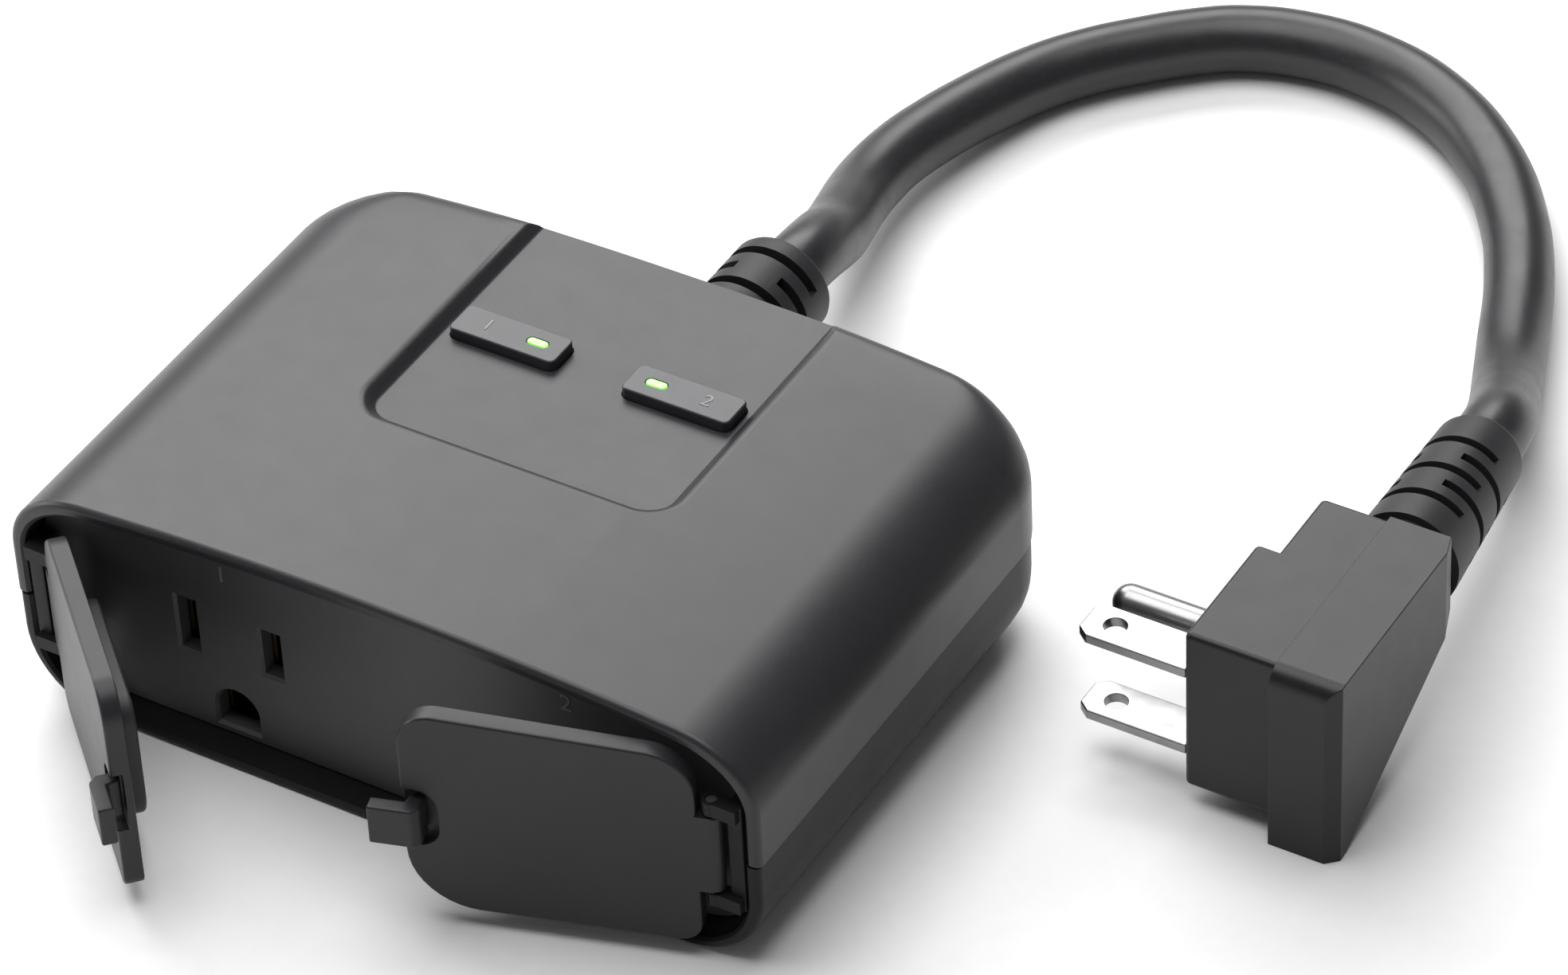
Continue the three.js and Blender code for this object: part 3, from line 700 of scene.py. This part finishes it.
def leaf(corner):
    outline = rounded_outline(LEAF_START, LEAF_LOW, REACH, LEAF_HIGH, [3, corner, 5, 6], 10)
    climbing = [(u, z + CLIMB * (u - LEAF_START) / (REACH - LEAF_START) if z > 20 else z)
                for u, z in outline]
    bm = prism(climbing, 1, -LEAF, LEAF)
    round_edges(bm, on_plane(1, -LEAF), 0.4, 3)
    round_edges(bm, on_plane(1, LEAF), 0.25, 2)
    scoop = prism(rounded_outline(34.4, SCOOP_Z[0], REACH + 2, SCOOP_Z[1], [3, 0.1, 0.1, 3], 6), 1,
                  -LEAF - 1, -LEAF + 1.6)
    round_edges(scoop, on_plane(1, -LEAF + 1.6), 0.7, 3)
    bm = combine(bm, scoop)
    barrel = revolve([(0, KNUCKLE[0]), (LEAF - 0.2, KNUCKLE[0]), (LEAF, KNUCKLE[0] + 0.2),
                      (LEAF, KNUCKLE[1] - 0.2),
                      (LEAF - 0.2, KNUCKLE[1]), (0, KNUCKLE[1])], steps=32)
    barrel = combine(barrel, block((0, 2.6), (-LEAF, LEAF - 0.01), KNUCKLE), "UNION")
    return combine(combine(bm, barrel, "UNION"), bore())


def seal_pad():
    bm = prism(rounded_outline(8.0, 6.5, 33.0, 27.0, [2, 6, 3, 5], 8), 1, LEAF + GAP,
               LEAF + GAP + PAD_THICK)
    round_edges(bm, on_plane(1, LEAF + GAP + PAD_THICK), 0.6, 3)
    channel = prism(rounded_outline(10.2, 8.7, 30.8, 24.8, [1, 4.5, 2, 3.5], 6), 1,
                    LEAF + GAP + 1.4, LEAF + 4)
    return combine(bm, channel)


def latch_tab():
    hook = [(36.2, 0.0), (36.2, -2.8), (37.2, -3.8), (42.8, -3.8), (42.8, -1.7), (38.4, -1.7),
            (38.0, 0.0)]
    bm = prism(hook, 2, *TAB_Z)
    round_edges(bm, sharp(40), 0.35, 3)
    return bm

# %% Covers
for word, place in COVER_PLACES.items():
    body = f"{word}_cover"
    piece(f"{word}_cover_leaf", leaf(LOWER_CORNER[word]), COVER, body, [body],
          math.radians(30), place)
    piece(f"{word}_cover_pad", seal_pad(), RUBBER, body, [f"{word}_seal_pad"],
          math.radians(30), place)
    piece(f"{word}_cover_tab", latch_tab(), COVER, body, [f"{word}_latch_tab"],
          math.radians(30), place)

# %% [markdown]
# The cover's pin is held by a bracket moulded inside the case's front corner, with a lug above
# the knuckle and another below it.

# %% Hinge brackets
BRACKET = ((-4.2, -2.0), (-0.1, 3.7), (9.4, 26.4))
LUGS = ((9.4, 11.4), (24.3, 26.4))  # one below the knuckle and one above


def hinge_bracket():
    bm = block(*BRACKET)
    round_edges(bm, sharp(40), 0.3, 2)
    for low, high in LUGS:
        lug = revolve([(0, low), (1.2, low), (1.3, low + 0.1), (1.3, high - 0.1), (1.2, high),
                       (0, high)], steps=32)
        lug = combine(lug, block((-3.9, 0), (-1.1, 1.1), (low + 0.01, high - 0.01)), "UNION")
        bm = combine(bm, lug, "UNION")
    return combine(bm, bore())


for word, place in (("left", LEFT_SIDE), ("right", RIGHT_SIDE)):
    # painted shade: the brackets take the darker copy of the shell plastic
    piece(f"{word}_hinge_frame", hinge_bracket(), SHELL_LOW_SHADED, "case",
          [f"{word}_hinge_bracket"], math.radians(30), place)

# %% [markdown]
# ## Strain reliefs
#
# Where the cord enters the case and the plug it is held by a rubber sleeve cut with staggered
# arcs. The arcs let it flex, and because each row is turned against the next no straight line
# of weakness is left. A revolve makes the sleeve, and short partial revolves cut its arcs.

# %% Slotted sleeves
def arc_cutter(inner, outer, low, high, start, sweep):
    bm = bmesh.new()
    corners = [bm.verts.new((r, 0, h))
               for r, h in ((inner, low), (outer, low), (outer, high), (inner, high))]
    face = bm.faces.new(corners)
    bmesh.ops.rotate(bm, verts=bm.verts, cent=(0, 0, 0),
                     matrix=Matrix.Rotation(math.radians(start), 3, "Z"))
    bmesh.ops.spin(bm, geom=[face] + list(face.edges) + corners, cent=(0, 0, 0), axis=(0, 0, 1),
                   angle=math.radians(sweep), steps=16, dvec=(0, 0, 0))
    bmesh.ops.remove_doubles(bm, verts=bm.verts, dist=1e-5)
    bmesh.ops.recalc_face_normals(bm, faces=bm.faces)
    return bm


CORE, CORE_RUN, SEAT_RADIUS = 4.7, 1.2, 6.2  # the core is just inside the cord's own radius
ARC_PITCH, ARC_WIDTH, ARC_SWEEP = 3.5, 1.5, 128


def sleeve(root, tip, length, rows, first_row, turn, seat=0.0):
    """A sleeve along Z: rows of arcs, a core that enters the cord, a seat behind its root."""
    start = [(0, -seat), (SEAT_RADIUS, -seat), (SEAT_RADIUS, 0)] if seat else [(0, 0)]
    profile = start + [(root, 0), (root, 1.0), (tip + 0.15, length - 0.9),
                       (tip - 0.1, length - 0.35), (tip - 0.6, length), (CORE, length),
                       (CORE, length + CORE_RUN), (0, length + CORE_RUN)]
    bm = revolve(profile, steps=64)
    for row in range(rows):
        low = first_row + row * ARC_PITCH
        for k in (0, 1):
            start = turn + row * 90 + k * 180
            bm = combine(bm, arc_cutter(5.3, 9.5, low, low + ARC_WIDTH, start, ARC_SWEEP))
    return bm


GLAND_END = 61.0
gland_place = Matrix.Translation((0, REAR + GAP, 18)) @ Matrix.Rotation(math.radians(-90), 4, "X")
gland = sleeve(7.4, 7.3, GLAND_END - REAR - GAP, 5, 4.3, 30)
neck = revolve([(0, -5.3), (8.5, -5.3), (8.5, -2.6), (5.7, -2.6), (5.7, 0.2), (0, 0.2)])
gland = combine(gland, neck, "UNION")
piece("gland_sleeve", gland, BOOT, "case", ["cord_gland"], math.radians(30), gland_place)

boot_from, boot_to = Vector((99.5, 46.1, 20.5)), Vector((96.9, 72.8, 17.4))
boot_axis = boot_to - boot_from
boot_place = Matrix.Translation(boot_from) @ boot_axis.to_track_quat("Z", "Y").to_matrix().to_4x4()
boot = sleeve(7.2, 5.9, boot_axis.length, 5, 5.0, 10, seat=2.2)
boot_piece = piece("boot_sleeve", boot, BOOT, "case", ["plug_boot"], math.radians(30),
                   boot_place)

# %% [markdown]
# ## Right-angle plug
#
# The plug is moulded in two depths: a block behind the blades and a taller grip plate at its
# back, whose underside climbs towards the cord. Each is its own solid with its edges already
# rounded, and a union joins them. That keeps a crisp line where they meet, as on the real
# moulding.

# %% Plug body
PX, PY, PZ = 85.6, 17.3, 14.4
BLOCK_LOW, BLOCK_HIGH = 3.2, 28.4
BLADE_SPACING, PIN_OFFSET = 12.7, 11.9
plan = [(12.6, -5.9), (20.4, -5.9), (22, -4.4), (22, 24), (20.9, 27.6), (12.6, 27.6)]
side_view = ([(-5.9, 0), (-3.4, 0), (27.6, 16.4), (27.0, 28.8)]
             + arc(-3.5, 26.4, 2.4, 2.4, 90, 180, 9))
grip = combine(prism(plan, 2, -1, 40), prism(side_view, 0, 0, 30), "INTERSECT")
bmesh.ops.dissolve_limit(grip, angle_limit=0.01, verts=grip.verts, edges=grip.edges)
round_edges(grip, sharp(13), 0.7, 4)
block_part = block((0, 15.0), (-4.2, 15.2), (BLOCK_LOW, BLOCK_HIGH))
round_edges(block_part, sharp(40), 0.8, 4)
shank_side = [(11.5, 8.0), (27.3, 16.3), (26.8, 28.4), (11.5, 28.4)]
shank = prism(shank_side, 0, 3.2, 15.0)
round_edges(shank, sharp(12), 0.8, 4)
plug = combine(combine(grip, block_part, "UNION"), shank, "UNION")
plug_piece = piece("plug_moulding", plug, PLUG, "case", ["plug_body"], math.radians(25),
                   Matrix.Translation((PX, PY, 0)))

# %% [markdown]
# ## Blades and ground pin
#
# The blades are nickel-plated strip with rounded ends and a hole for the outlet's detent. The
# ground pin is a rod with a domed tip, longer than the blades so that it always mates first.

# %% Blades and pin
def blade(height):
    half_w, half_t, long = 3.175, 0.75, 15.9
    outline = [(-0.3, -half_w), (-0.3, half_w), (-long + 1.5, half_w), (-long, half_w - 1.2),
               (-long, -half_w + 1.2), (-long + 1.5, -half_w)]
    bm = prism(outline, 2, height - half_t, height + half_t)
    round_edges(bm, sharp(12), 0.22, 3)
    hole = revolve([(0, height - 2), (1.85, height - 2), (1.55, height - 0.5),
                    (1.55, height + 0.5), (1.85, height + 2), (0, height + 2)],
                   Matrix.Translation((-long + 4.1, 0, 0)), 32)
    return combine(bm, hole)


for name, height in (("neutral_blade", PZ - BLADE_SPACING / 2),
                     ("line_blade", PZ + BLADE_SPACING / 2)):
    piece(f"{name}_plated", blade(height), NICKEL, "case", [name],
                          math.radians(30),
                          Matrix.Translation((PX, PY, 0)))
dome = [(2.4 * math.cos(t), 16.1 + 2.4 * math.sin(t))
        for t in (math.radians(90 * i / 8) for i in range(1, 9))]
pin_place = (Matrix.Translation((PX, PY + PIN_OFFSET, PZ))
             @ Matrix.Rotation(math.radians(-90), 4, "Y"))
pin_profile = [(0, 0.3), (2.4, 0.3), (2.4, 16.1)] + dome[:-1] + [(0, 18.5)]
piece("ground_pin_plated", revolve(pin_profile, pin_place, 40), NICKEL,
                      "case", ["ground_pin"])

# %% [markdown]
# ## Parts carried over from the frame
#
# The screws, springs, boards and wires already have their true shapes in the CAD, so they keep
# them and only receive a finish. A fibreglass board and a moulded relay each age differently,
# so each gets its own recipe. The folded brass contacts are painted far darker than brass: painted
# shade for their place deep behind the plate's slots.

# %% Finishes for the inner parts
def board_finish():
    finish = Finish("circuit_board", 0.4)
    weave = finish.node("ShaderNodeTexBrick", {},
                        {"Vector": finish.place, "Scale": 900.0, "Mortar Size": 0.03}, 1)
    mottling = finish.noise(2.5, 3)
    finish.set("Base Color",
               finish.mix(mottling, (0.006, 0.075, 0.030, 1), (0.014, 0.13, 0.055, 1)))
    finish.set("Roughness", mottling * 0.2 + 0.28)
    finish.bump(weave, 0.01, 0.3)
    return finish.material


PARTS = {
    "circuit_board": (board_finish(), ["main_board", "button_board"]),
    "screw_steel": (plated("screw_steel", (0.62, 0.62, 0.63), 0.32),
                    [f"case_screw_{i}" for i in range(1, 5)]
                    + ["left_hinge_pin", "right_hinge_pin"]),
    # painted shade: the brass colour is darkened to stand for the shadow deep behind the slots
    "contact_brass_painted_shade": (plated("contact_brass_painted_shade", (0.14, 0.10, 0.045), 0.42),
                      [f"{kind}_contact_{i}" for kind in ("neutral", "line", "ground")
                       for i in (1, 2)]),
    "relay_case": (moulded("relay_case", (0.008, 0.055, 0.20), (0.014, 0.075, 0.26),
                           0.3, 0.3, 0.01),
                   ["relay_1", "relay_2"]),
    "potted_black": (moulded("potted_black", (0.010, 0.010, 0.012), (0.02, 0.02, 0.022),
                             0.35, 0.3, 0.01),
                     ["power_supply", "capacitor", "tact_switch_1", "tact_switch_2"]),
    "white_nylon": (moulded("white_nylon", (0.62, 0.62, 0.58), (0.72, 0.72, 0.68),
                            0.5, 0.3, 0.01),
                    ["radio_module", "cord_clamp"]),
    "seal_rubber": (moulded("seal_rubber", (0.012, 0.012, 0.013), (0.02, 0.02, 0.021),
                            0.7, 0.35, 0.02),
                    ["perimeter_seal_left", "perimeter_seal_right"]),
    "wire_black": (moulded("wire_black", (0.012, 0.012, 0.014), (0.02, 0.02, 0.022),
                           0.32, 0.4, 0.01),
                   ["line_wire"]),
    "wire_white": (moulded("wire_white", (0.60, 0.60, 0.57), (0.70, 0.70, 0.67),
                           0.32, 0.4, 0.01),
                   ["neutral_wire"]),
    "wire_green": (moulded("wire_green", (0.012, 0.20, 0.045), (0.02, 0.27, 0.065),
                           0.32, 0.4, 0.01),
                   ["ground_wire"]),
}
for material, nodes in PARTS.values():
    for node in nodes:
        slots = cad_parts[node].material_slots
        if slots:
            slots[0].material = material
        else:
            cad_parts[node].data.materials.append(material)
print("carried-over nodes given a finish:", sum(len(nodes) for material, nodes in PARTS.values()))

# %% [markdown]
# ## Floor and light
#
# Product pictures use a white sweep and very large soft sources. The dark satin case is
# drawn mostly by what it reflects: a big sheet behind it lights its top to mid grey, while
# its sides face the dim edge of the room and stay dark, helped by painted shade in the lower
# shell's darker colour. A weaker sheet overhead whitens the floor.

# %% Floor
floor_bm = bmesh.new()
bmesh.ops.create_grid(floor_bm, x_segments=1, y_segments=1, size=3.0)
floor_bm.faces.ensure_lookup_table()
floor = to_object("studio_floor", floor_bm)
paper = Finish("white_paper", 0.9)
fibres = paper.noise(3.0, 3)
paper.set("Base Color", paper.mix(fibres, (0.86, 0.86, 0.86, 1), (0.90, 0.90, 0.90, 1)))
floor.data.materials.append(paper.material)

# %% Lights
world = bpy.data.worlds.new("soft_room")
bpy.context.scene.world = world
world.use_nodes = True
room = world.node_tree.nodes["Background"]
room.inputs["Color"].default_value = (1.0, 1.0, 1.0, 1.0)
room.inputs["Strength"].default_value = 0.16


def soft_light(name, place_mm, target_mm, size_mm, watts):
    data = bpy.data.lights.new(name, "AREA")
    data.shape, data.energy = "RECTANGLE", watts
    data.size, data.size_y = size_mm[0] * MM, size_mm[1] * MM
    lamp = bpy.data.objects.new(name, data)
    place = Vector(place_mm) * MM
    aim = Vector(target_mm) * MM - place
    facing = aim.to_track_quat("-Z", "Y").to_matrix().to_4x4()
    lamp.matrix_world = Matrix.Translation(place) @ facing
    bpy.context.scene.collection.objects.link(lamp)


soft_light("rear_sheet", (-600, 720, 760), (10, 20, 20), (1400, 620), 16.5)
soft_light("overhead_sheet", (-100, 0, 1100), (0, 20, 0), (900, 900), 11.0)
soft_light("left_strip", (-900, -200, 260), (0, 0, 20), (700, 350), 3.5)
bpy.context.scene.view_settings.view_transform = "Standard"
